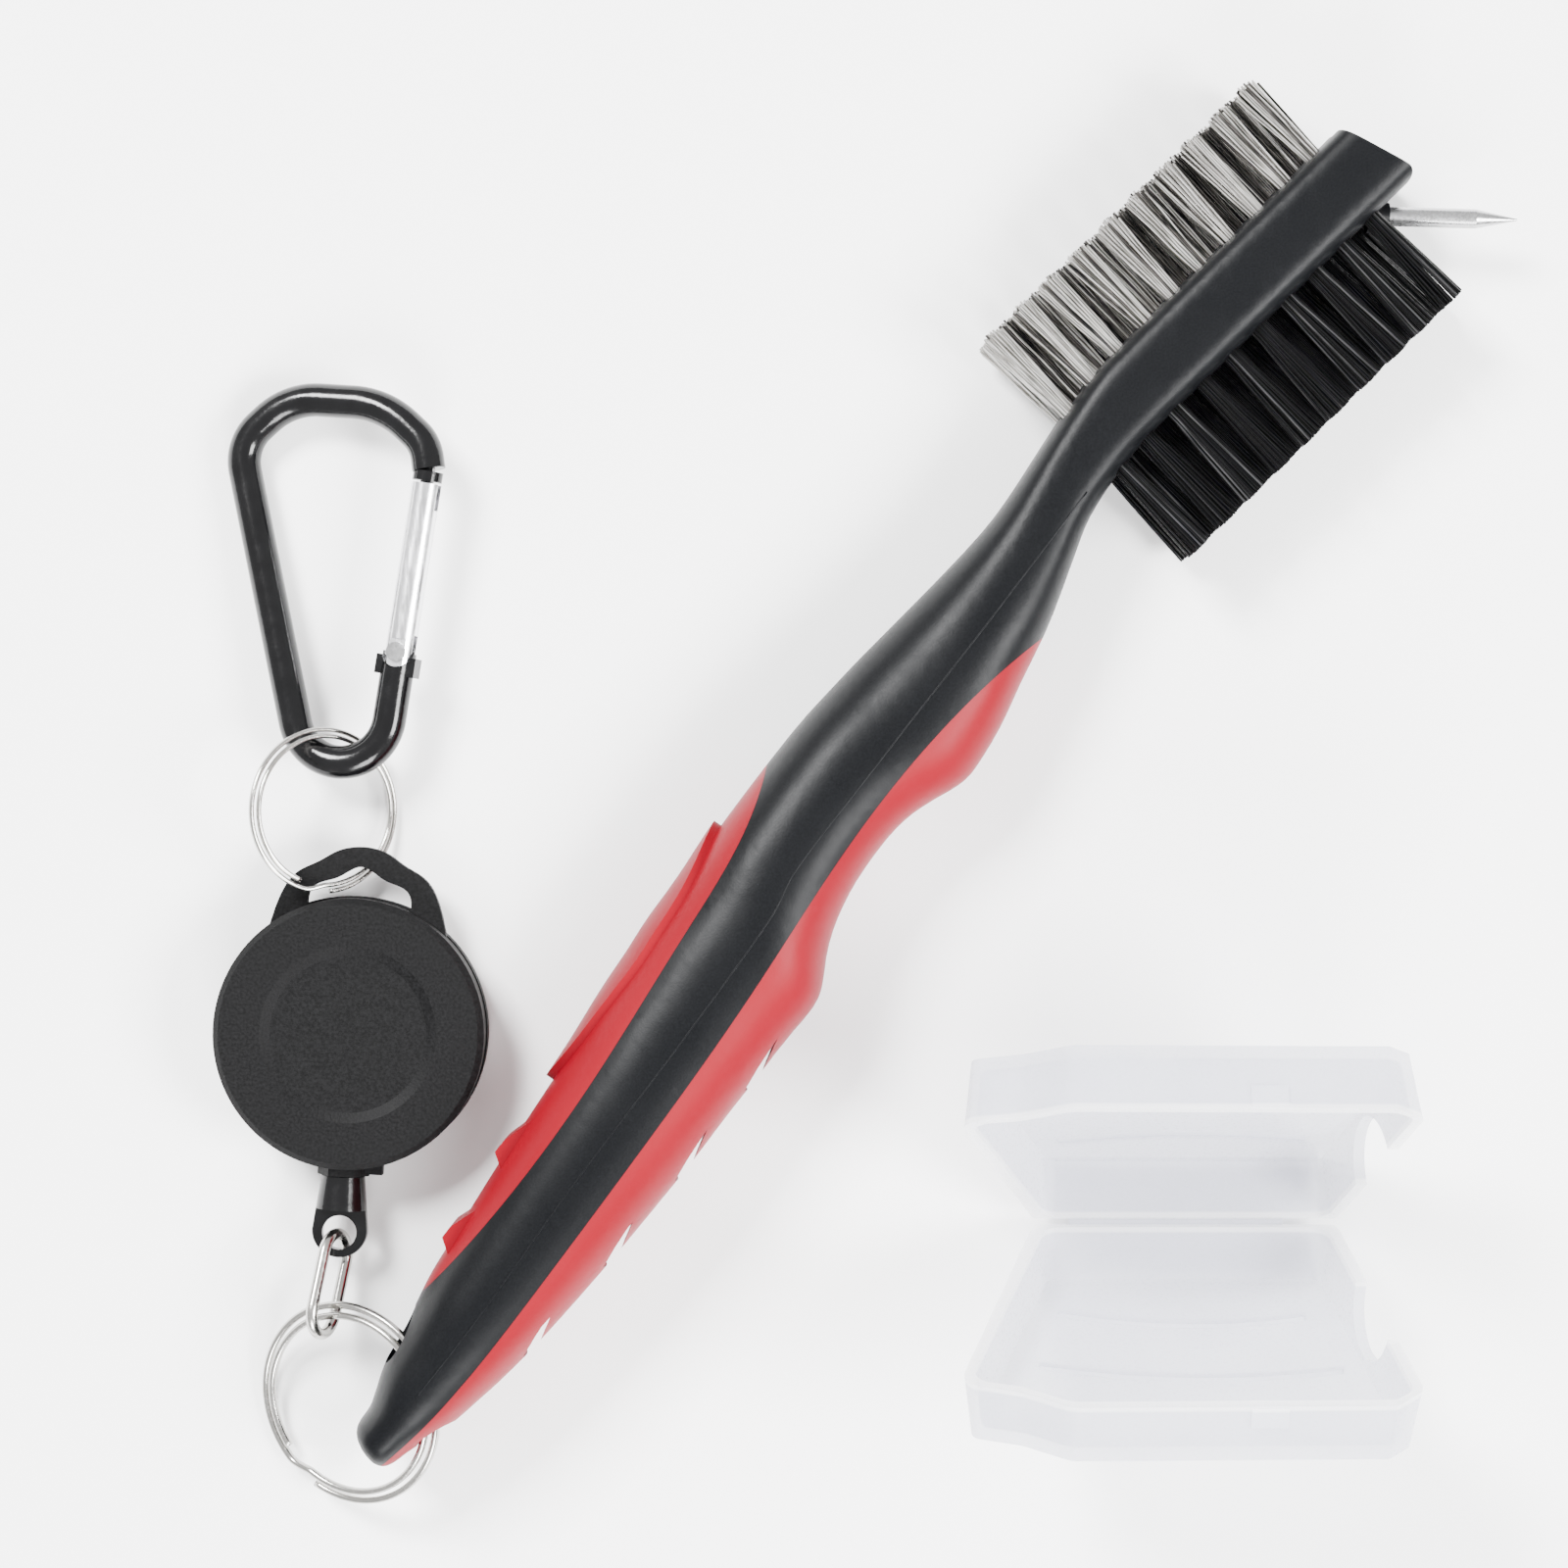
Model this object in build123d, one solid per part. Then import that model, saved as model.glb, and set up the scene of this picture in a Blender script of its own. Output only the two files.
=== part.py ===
from build123d import *

import os
from math import cos, pi, radians, sin

# Golf club groove brush with its retractable reel, rings, carabiner and open bristle cover.
# Everything lies on a table, the plane z = 0. Lengths are in millimetres, angles in degrees.

# ---- brush handle, in its own frame: +X from the butt to the head, +Y to the thumb side ----
brush_place = (-76.7, -58.3)  # where the brush frame's origin lies on the table
brush_turn = 44.4  # the head bar's direction on the table
grip_mid_height = 10.6  # the grip's middle plane above the table, at the belly
head_mid_height = 7.7  # the head bar's middle plane above the table
rubber_thickness = 2.2

# Sections along the handle: x, thumb edge y, finger edge y, half depth, middle plane's height.
handle_sections = [
    (-0.4, -25.6, -28.2, 3.6, 10.3),
    (3.0, -22.6, -29.5, 6.6, 10.3),
    (9.0, -19.8, -30.7, 8.3, 10.4),
    (20.0, -16.2, -31.1, 9.6, 10.5),
    (35.0, -12.5, -30.2, 10.4, 10.5),
    (50.0, -9.2, -28.6, 10.6, 10.7),
    (63.0, -6.2, -26.8, 10.3, 10.6),
    (71.0, -4.6, -25.8, 10.0, 10.55),
    (75.5, -3.7, -24.9, 9.85, 10.5),
    (79.0, -2.9, -22.4, 9.7, 10.4),
    (84.8, -1.9, -19.4, 9.4, 10.3),
    (91.0, -1.0, -17.8, 9.1, 10.1),
    (97.0, -0.3, -17.3, 8.8, 9.9),
    (102.0, -0.05, -18.2, 8.55, 9.7),
    (105.6, 0.1, -18.9, 8.4, 9.5),
    (112.0, 0.2, -17.6, 8.1, 9.2),
    (118.0, 0.3, -15.4, 7.9, 8.9),
    (124.4, 0.5, -13.1, 7.6, 8.5),
    (130.0, 1.0, -10.6, 7.4, 8.2),
    (137.0, 2.4, -7.3, 7.3, 7.9),
    (144.0, 3.9, -5.6, 7.4, 7.7),
    (150.0, 4.8, -5.0, 7.5, 7.7),
    (160.0, 5.1, -5.0, 7.5, 7.7),
    (175.0, 5.15, -5.0, 7.5, 7.7),
    (197.0, 5.2, -5.0, 7.5, 7.7),
]
section_spacing = 4.0  # the sections are filled in this closely before they are lofted
grip_squareness = 2.3
head_squareness = 5.0
head_starts_at = 150.0
points_per_section = 24

# Where the black spine meets the red rubber, on the thumb side and on the finger side.
thumb_spine_edge = [
    (90.8, -0.6),
    (83.5, -4.6),
    (69.4, -8.6),
    (49.8, -13.3),
    (34.0, -16.0),
    (15.0, -17.0),
]
finger_spine_edge = [
    (123.2, -13.2),
    (111.1, -12.5),
    (92.8, -14.2),
    (69.5, -19.1),
    (47.9, -23.0),
    (27.1, -26.3),
    (8.0, -28.4),
    (-1.0, -28.2),
]
thumb_pad_centre = 64.0
thumb_pad_length = 36.0
thumb_pad_height = 12.5
thumb_pad_rise = 1.0
thumb_fins = [(42.0, 34.6), (29.5, 23.2)]  # where each fin starts and ends along x
fin_height = 9.0
finger_notches = [63.1, 49.9, 36.7, 22.7]
notch_height = 12.0

# ---- head: tufts on both sides of the bar, and the groove pick ----
tuft_pitch = 4.62
tufts_in_outer_row = 10
first_tuft_at = 144.3
row_spacing = 4.3
tuft_base_radius = 1.12
tuft_hole_depth = 4.2
tuft_flare_from = 5.7  # the bar's surface lies just inside this distance from its middle
anchor_height = 1.0
anchor_width = 1.9
anchor_thickness = 0.35
wire_tip_reach = 17.0  # the tufts' tips, from the bar's middle
nylon_tip_reach = 18.7
wire_tip_radius = 2.1
nylon_tip_radius = 2.0
pick_root = (187.0, -4.9)
pick_tip = (199.0, -17.3)
pick_radius = 1.15
pick_point_length = 5.0

# ---- lanyard hole in the butt, a slot that runs from side to side ----
hole_thumb_end = (-54.6, -63.4)
hole_finger_end = (-50.6, -75.0)
hole_width = 5.4
hole_height = 7.4
hole_mid_height = 11.7

# ---- handle split ring ----
handle_ring_centre = (-61.4, -72.3)
handle_ring_radius = 12.5
handle_ring_band = 1.9
handle_ring_thickness = 1.9
handle_ring_axis_turn = -70.6  # direction of the level line that the ring leans about
handle_ring_lean = 28.5

# ---- oval link between the handle ring and the cord's end bell ----
link_wire_radius = 0.7
link_inner_width = 4.2
link_roll = -24.0  # the left-hand leg stands higher than the right-hand one
link_ring_angle = 175.0  # where the link hangs on the ring, counted from the ring's level line

# ---- retractable reel, in its own frame: +Y to the loop, origin on the spool axis ----
reel_place = (-61.3, -28.2)
reel_turn = -3.5
reel_radius = 16.1
reel_thickness = 9.5
back_cover_top = 3.4
front_cover_bottom = 6.1
loop_bottom = 4.05
loop_thickness = 1.5
cord_height = 4.75
reel_wall = 1.2
dish_radius = 9.8
dish_depth = 0.45
post_radius = 1.5
spool_clearance = 0.05
spool_hub_radius = 6.4
spool_flange_radius = 14.2
winding_radius = 11.5
cord_radius = 0.45
cord_hole_radius = 0.8
outlet_reach = 17.1
bell_top_radius = 2.6
bell_radius = 3.35
bell_length = 9.8
bell_hole_radius = 2.05
bell_hole_back = 3.05  # from the hole's centre to the bell's rounded end
tongue_thickness = 1.5

# ---- reel split ring ----
reel_ring_centre = (-64.4, -1.65)
reel_ring_radius = 10.0
reel_ring_band = 1.4
reel_ring_thickness = 1.6
reel_ring_lean = 36.0

# ---- carabiner ----
carabiner_wire_radius = 2.0
carabiner_bend_centre = (-62.4, 10.1)
carabiner_bend_radius = 6.0
carabiner_top = 37.6  # the top bar's wire centre, from the bend's centre
carabiner_side_lean = 12.0  # the gate side stands higher than the spine side
carabiner_end_lean = -1.5  # and the bend, which rests on the ring, higher than the top
carabiner_bend_height = 5.6
spine_angle = 12.0  # the straight side leans out this far from the carabiner's axis
gate_angle = 9.2  # and the gate side this far the other way
gate_radius = 1.78
gate_pivot_along = 8.1
gate_length = 20.35
nose_gap = 1.7  # from the gate's end to the nose, most of it taken by the nose's hook
hook_height = 1.2
foot_clearance = 0.12  # all round the gate's round foot
rivet_radius = 0.6
rivet_head_radius = 1.15

# ---- hinged bristle cover, standing open like a V on its spine ----
cover_hinge_place = (38.5, -51.1)
cover_lean = 64.5  # each half's rim plane above the table
cover_width = 38.0  # from the hinge to the free edge
cover_depth = 8.0
cover_wall = 1.1
cover_draft = 7.0
hinge_side = (-18.0, 18.2)  # the trapezoid's ends along the hinge
free_side = (-29.6, 23.6)  # and along the free edge
rim_gap = 0.12
draft_lift = 0.85  # the tray walls' draft raises the bottom corners by this much
hinge_bead_radius = 0.55
hinge_web = (-13.8, 11.8)
neck_notch_radius = 6.0
neck_notch_at = 19.0


def section(x, thumb, finger, half_depth, squareness, mid_height):
    """A rounded outline across the handle, as a face in the plane X = x."""
    half_width = (thumb - finger) / 2
    middle = (thumb + finger) / 2
    points = []
    for i in range(points_per_section):
        a = 2 * pi * i / points_per_section
        c = cos(a)
        s = sin(a)
        y = half_width * abs(c) ** (2 / squareness) * (1 if c >= 0 else -1)
        z = half_depth * abs(s) ** (2 / squareness) * (1 if s >= 0 else -1)
        points.append((x, middle + y, mid_height + z))
    return make_face(Spline(*points, periodic=True))


def squareness_at(x):
    """The grip is nearly oval and the head bar nearly rectangular."""
    share = min(max((x - 112.0) / (head_starts_at - 112.0), 0.0), 1.0)
    return grip_squareness + (head_squareness - grip_squareness) * share * share


def smooth_between(before, start, end, after, share):
    """A value between start and end on a smooth curve that also heeds the values outside them."""
    rise = end - start
    leave = (end - before) / 2
    arrive = (after - start) / 2
    curve = leave + (3 * rise - 2 * leave - arrive) * share
    return start + share * (curve + (leave + arrive - 2 * rise) * share * share)


def filled_in(first_x, last_x):
    """The handle's sections from first_x to last_x, with smooth ones filled in between."""
    stations = []
    count = len(handle_sections)
    for i in range(count - 1):
        start = handle_sections[i]
        end = handle_sections[i + 1]
        before = handle_sections[max(i - 1, 0)]
        after = handle_sections[min(i + 2, count - 1)]
        pieces = max(1, round((end[0] - start[0]) / section_spacing))
        for k in range(pieces):
            share = k / pieces
            columns = zip(before[1:], start[1:], end[1:], after[1:])
            values = [smooth_between(*column, share) for column in columns]
            stations.append((start[0] + share * (end[0] - start[0]), *values))
    stations.append(handle_sections[-1])
    return [station for station in stations if first_x <= station[0] <= last_x]


def handle_loft(first_x, last_x, inset=0.0, thumb_growth=0.0):
    """Loft along the handle, smaller by inset all round, or larger on the thumb side."""
    faces = []
    for x, thumb, finger, half_depth, middle in filled_in(first_x, last_x):
        thumb_edge = thumb - inset + thumb_growth
        faces.append(
            section(x, thumb_edge, finger + inset, half_depth - inset, squareness_at(x), middle)
        )
    return loft(faces)


def edge_at(x, column):
    """Where one edge of the grip lies at x, between the two nearest sections."""
    for near, far in zip(handle_sections, handle_sections[1:]):
        if x <= far[0]:
            share = (x - near[0]) / (far[0] - near[0])
            return near[column] + share * (far[column] - near[column])
    return handle_sections[-1][column]


def thumb_edge_at(x):
    return edge_at(x, 1)


def finger_edge_at(x):
    return edge_at(x, 2)


def on_table(shape):
    """Move a shape from the brush frame to its place on the table."""
    return Location((brush_place[0], brush_place[1], 0), (0, 0, brush_turn)) * shape


def tall_prism(outline):
    """Extrude an outline that lies at z = -5 upwards through the whole handle."""
    return extrude(outline, 40)


def region_beside(edge, outer_corners):
    """A plan region between a smooth edge and some corners outside the handle."""
    low = -5
    curve = Spline(*[(x, y, low) for x, y in edge])
    rest = [edge[-1]] + outer_corners + [edge[0]]
    lines = Polyline(*[(x, y, low) for x, y in rest])
    return tall_prism(make_face([curve, lines]))


# ---- the handle ----
def make_handle():
    outer = handle_loft(-0.4, 197.0)
    inner = handle_loft(3.0, 130.0, rubber_thickness)

    # The head bar's end is slanted, with rounded corners.
    end_corners = [
        (100, 30, -5),
        (190.2, 30, -5),
        (190.2, 5.0, -5),
        (193.2, -4.8, -5),
        (188.9, -5.6, -5),
        (188.9, -50, -5),
        (100, -50, -5),
    ]
    end_outline = FilletPolyline(*end_corners, radius=[0.2, 1.6, 1.2, 0.2, 0.2], close=False)
    closing = Line((100, -50, -5), (100, 30, -5))
    far_end = tall_prism(make_face([end_outline, closing]))
    near_end = Pos(40, -10, 15) * Box(120.2, 80, 40)
    outer = outer & (far_end + near_end)

    thumb_region = region_beside(thumb_spine_edge, [(2, -8), (50, 20), (98, 8)])
    finger_region = region_beside(finger_spine_edge, [(-8, -45), (130, -45), (129, -14)])
    thumb_grip = (outer & thumb_region) - inner
    finger_grip = (outer & finger_region) - inner
    core = outer - thumb_region - finger_region
    core += inner & outer

    # Raised oval pad for the thumb.
    grown = handle_loft(35.0, 97.0, 0.0, thumb_pad_rise)
    pad_oval = Ellipse(thumb_pad_length / 2, thumb_pad_height / 2)
    pad_origin = (thumb_pad_centre, -9, grip_mid_height)
    pad_plane = Plane(origin=pad_origin, x_dir=(1, 0.2, 0), z_dir=(-0.2, 1, 0))
    pad = grown & extrude(pad_plane * pad_oval, 20)
    thumb_grip += pad - core

    # Two small fins behind the pad, each rising towards the butt and ending in a step.
    for start, end in thumb_fins:
        low = thumb_edge_at(start)
        high = thumb_edge_at(end)
        corners = [
            (start, low - 0.8),
            (end + 2.6, high + 1.5),
            (end + 0.9, high + 1.3),
            (end, high - 0.6),
            (start - 2, low - 3.0),
        ]
        outline = make_face(Polyline(*corners, close=True))
        fin = Pos(0, 0, grip_mid_height - fin_height / 2) * extrude(outline, fin_height)
        thumb_grip += fin - core

    # Finger ridges: a narrow slit that runs forward into the rubber from a step in its surface.
    for at in finger_notches:
        y = finger_edge_at(at)
        corners = [
            (at - 1.2, y - 1.0),
            (at + 1.6, y + 0.35),
            (at + 5.4, y + 1.9),
            (at + 1.2, y + 0.95),
            (at - 1.8, y + 0.1),
        ]
        outline = make_face(Polyline(*corners, close=True))
        finger_grip -= Pos(0, 0, grip_mid_height - notch_height / 2) * extrude(outline, notch_height)
    return core, thumb_grip, finger_grip


def lanyard_slot():
    """The slot through the butt, in table coordinates, longer than the butt is wide."""
    dx = hole_finger_end[0] - hole_thumb_end[0]
    dy = hole_finger_end[1] - hole_thumb_end[1]
    x = (hole_thumb_end[0] + hole_finger_end[0]) / 2
    y = (hole_thumb_end[1] + hole_finger_end[1]) / 2
    plane = Plane(origin=(x, y, hole_mid_height), x_dir=(-dy, dx, 0), z_dir=(dx, dy, 0))
    shape = plane * (Rot(0, 0, 90) * SlotOverall(hole_height, hole_width))
    return extrude(shape, 12, both=True)


def tuft_rows():
    """Positions of the tufts along the bar and across its depth: a staggered middle row."""
    spots = []
    for row in (-1, 0, 1):
        count = tufts_in_outer_row if row else tufts_in_outer_row - 1
        start = first_tuft_at if row else first_tuft_at + tuft_pitch / 2
        for i in range(count):
            spots.append((start + i * tuft_pitch, head_mid_height + row * row_spacing))
    return spots


def tuft_parts(side, tip_reach, tip_radius):
    """Holes, tufts and anchors on one side of the head bar. side is 1 or -1 along Y."""
    holes = []
    tufts = []
    anchors = []
    bottom = tuft_flare_from - tuft_hole_depth
    base = bottom + anchor_height + 0.05
    root_radius = tuft_base_radius
    for x, z in tuft_rows():
        holes.append(tuft_solid(x, z, side, bottom, tuft_flare_from + 2, root_radius, root_radius))
        straight = tuft_solid(x, z, side, base, tuft_flare_from, root_radius, root_radius)
        flared = tuft_solid(x, z, side, tuft_flare_from, tip_reach, root_radius, tip_radius)
        tufts.append(straight + flared)
        plate = Box(anchor_width, anchor_height, anchor_thickness)
        anchors.append(Pos(x, side * (bottom + anchor_height / 2), z) * plate)
    return holes, tufts, anchors


def tuft_solid(x, z, side, start, end, start_radius, end_radius):
    """A round solid along Y from start to end on one side of the bar."""
    height = end - start
    if start_radius == end_radius:
        shape = Cylinder(start_radius, height)
    else:
        shape = Cone(start_radius, end_radius, height)
    return Pos(x, side * (start + height / 2), z) * (Rot(-90 * side, 0, 0) * shape)


def make_pick():
    """The steel groove pick and the boss that holds it, in the brush frame."""
    dx = pick_tip[0] - pick_root[0]
    dy = pick_tip[1] - pick_root[1]
    plane = Plane(origin=(pick_root[0], pick_root[1], head_mid_height), z_dir=(dx, dy, 0))
    length = (dx * dx + dy * dy) ** 0.5
    rod = length - pick_point_length
    corners = [(0, 0), (pick_radius, 0), (pick_radius, rod), (0.12, length), (0, length)]
    profile = make_face(Polyline(*corners, close=True))
    pick = plane * (Rot(90, 0, 0) * revolve(profile, Axis.Y))
    hole = plane * (Pos(0, 0, 3) * Cylinder(pick_radius, 6))
    boss = plane * (Pos(0, 0, 0.6) * Cone(2.1, 1.6, 2.6))
    return pick, hole, boss


def make_ring(radius, band, thickness):
    """A split ring as a flat-sided hoop about Z."""
    profile = Pos(radius - band / 2, 0) * RectangleRounded(band, thickness, 0.35)
    return revolve(Plane.XZ * profile, Axis.Z)


def make_link(length):
    """An oval wire link along Y in the YZ plane, its end arcs' centres at 0 and -length."""
    middle = link_inner_width / 2 + link_wire_radius
    path = Wire(
        [
            Line((0, 0, middle), (0, -length, middle)),
            ThreePointArc((0, -length, middle), (0, -length - middle, 0), (0, -length, -middle)),
            Line((0, -length, -middle), (0, 0, -middle)),
            ThreePointArc((0, 0, -middle), (0, middle, 0), (0, 0, middle)),
        ]
    )
    start = Plane(origin=(0, 0, middle), z_dir=(0, -1, 0))
    return sweep(start * Circle(link_wire_radius), path)


# ---- the reel ----
def make_reel():
    """The reel's pieces in the reel frame."""
    parts = {}
    inner_radius = reel_radius - reel_wall
    back_corners = [
        (0, 0.3),
        (dish_radius, 0.3),
        (dish_radius + 0.6, 0),
        (reel_radius - 1.1, 0),
        (reel_radius, 1.1),
        (reel_radius, back_cover_top),
        (inner_radius, back_cover_top),
        (inner_radius, 1.4),
        (0, 1.4),
    ]
    back_profile = make_face(Polyline(*back_corners, close=True))
    post_top = reel_thickness - 1.85
    back = revolve(Plane.XZ * back_profile, Axis.Z)
    back += Pos(0, 0, (1.3 + post_top) / 2) * Cylinder(post_radius, post_top - 1.3)
    top = reel_thickness
    front_corners = [
        (0, top - dish_depth),
        (dish_radius - 0.5, top - dish_depth),
        (dish_radius + 0.7, top),
        (reel_radius - 0.7, top),
        (reel_radius, top - 0.7),
        (reel_radius, front_cover_bottom),
        (inner_radius, front_cover_bottom),
        (inner_radius, top - 1.5),
        (0, top - 1.5),
    ]
    front_profile = make_face(Polyline(*front_corners, close=True))
    front = revolve(Plane.XZ * front_profile, Axis.Z)
    parts["reel_back_cover"] = back
    parts["reel_front_cover"] = front

    band_height = front_cover_bottom - back_cover_top
    band = Cylinder(reel_radius - 0.15, band_height) - Cylinder(inner_radius, band_height)
    band = Pos(0, 0, (back_cover_top + front_cover_bottom) / 2) * band
    cord_hole = Rot(90, 0, 0) * Cylinder(cord_hole_radius, 12)
    cord_hole = Pos(0, -outlet_reach, cord_height) * cord_hole
    parts["reel_body_ring"] = band + loop_plate(loop_thickness) - cord_hole

    # Hexagonal outlet collar with a small nub beside it.
    collar = extrude(Plane.XZ * RegularPolygon(3.1, 6), 2.6)
    collar = Pos(0, -outlet_reach + 2.6, cord_height) * collar - cord_hole
    nub = Pos(3.4, -outlet_reach + 1.2, cord_height) * Box(2.6, 1.8, 2.0)
    collar = (collar + nub) - Pos(0, 0, front_cover_bottom + 5) * Cylinder(reel_radius, 10)
    collar = collar - Pos(0, 0, back_cover_top - 5) * Cylinder(reel_radius, 10)
    parts["cord_outlet_collar"] = collar - Pos(0, 0, cord_height) * Cylinder(reel_radius - 0.15, 12)

    # Spool on its post, with the winding and the power spring.
    spool_low = 1.8
    spool_high = reel_thickness - 2.0
    flange = 0.7
    spool = Cylinder(spool_flange_radius, flange)
    spool = Pos(0, 0, spool_low + flange / 2) * spool
    hub = Cylinder(spool_hub_radius, spool_high - spool_low)
    spool += Pos(0, 0, (spool_low + spool_high) / 2) * hub
    spool += Pos(0, 0, spool_high - flange / 2) * Cylinder(spool_flange_radius, flange)
    bore = Cylinder(post_radius + spool_clearance, 20)
    well_top = spool_high - flange - 0.3
    well_height = well_top - spool_low + 1
    well = Pos(0, 0, well_top - well_height / 2) * Cylinder(spool_hub_radius - 0.8, well_height)
    parts["reel_spool"] = spool - bore - well
    winding_height = spool_high - spool_low - 2 * flange
    winding = Cylinder(winding_radius, winding_height) - Cylinder(spool_hub_radius, winding_height)
    parts["cord_winding"] = Pos(0, 0, (spool_low + spool_high) / 2) * winding
    parts["reel_power_spring"] = Pos(0, 0, 3.2) * spiral_spring(3.0)
    cap_height = top - 1.5 - post_top
    parts["reel_post_cap"] = Pos(0, 0, post_top + cap_height / 2) * Cylinder(2.2, cap_height)
    return parts


def spiral_spring(height):
    """A flat coil spring between the post and the spool hub."""
    turns = 3
    inner = 2.1
    pitch = 0.95
    thickness = 0.25
    outside = []
    inside = []
    steps = turns * 8
    for i in range(steps + 1):
        a = 2 * pi * turns * i / steps
        r = inner + pitch * turns * i / steps
        outside.append((r * cos(a), r * sin(a)))
        inside.append(((r - thickness) * cos(a), (r - thickness) * sin(a)))
    ends = [Line(outside[0], inside[0]), Line(outside[-1], inside[-1])]
    outline = make_face([Spline(*outside), Spline(*inside)] + ends)
    return Pos(0, 0, -height / 2) * extrude(outline, height)


def both_sides(half):
    """A curve's points on the right, together with their mirror images on the left."""
    return [(-x, y) for x, y in reversed(half[1:])] + half


def loop_plate(height):
    """The wavy hanging loop above the reel, a flat plate with a matching slot."""
    outer_half = [(0, 22.2), (3.3, 21.4), (5.0, 20.3), (7.5, 18.9), (10.0, 14.4), (10.6, 12.1)]
    inner_half = [(0, 19.8), (1.7, 19.1), (3.0, 18.3), (5.0, 17.6), (6.2, 15.2)]
    outer = make_face([Spline(*both_sides(outer_half)), Line((10.6, 12.1), (-10.6, 12.1))])
    lower = ThreePointArc((6.2, 15.2), (0, 16.3), (-6.2, 15.2))
    inner = make_face([Spline(*both_sides(inner_half)), lower])
    plate = extrude(outer, height) - extrude(inner, height)
    plate -= Cylinder(reel_radius - 1.0, 3 * height)
    return Pos(0, 0, loop_bottom) * plate


def make_bell():
    """The moulded end piece on the cord, along -Y from the outlet, with a flat holed tongue."""
    top = -outlet_reach - 0.1
    end = top - bell_length
    corner_y = bell_radius - bell_length
    slant = bell_radius * cos(pi / 4)
    corner = (bell_radius, corner_y)
    lines = Polyline(corner, (bell_top_radius, 0), (0, 0), (0, -bell_length))
    round_end = ThreePointArc((0, -bell_length), (slant, corner_y - slant), corner)
    bell = Pos(0, top, cord_height) * revolve(make_face([lines, round_end]), Axis.Y)
    hole_y = end + bell_hole_back
    for side in (-1, 1):
        z = cord_height + side * (tongue_thickness / 2 + 2)
        bell -= Pos(0, hole_y - 1.7, z) * Box(12, 9, 4)
    bell -= Pos(0, hole_y, cord_height) * Cylinder(bell_hole_radius, 20)
    bell -= Pos(0, top, cord_height) * (Rot(90, 0, 0) * Cylinder(cord_radius, 5))
    lead = Pos(0, top + 1.0, cord_height) * (Rot(90, 0, 0) * Cylinder(cord_radius, 7.0))
    return bell, lead, hole_y


# ---- the carabiner, drawn on the table and then leaned ----
def carabiner_frame():
    """The carabiner's plane: origin at the bend's centre."""
    return Location(
        (carabiner_bend_centre[0], carabiner_bend_centre[1], carabiner_bend_height),
        (carabiner_end_lean, -carabiner_side_lean, 0),
    )


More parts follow.
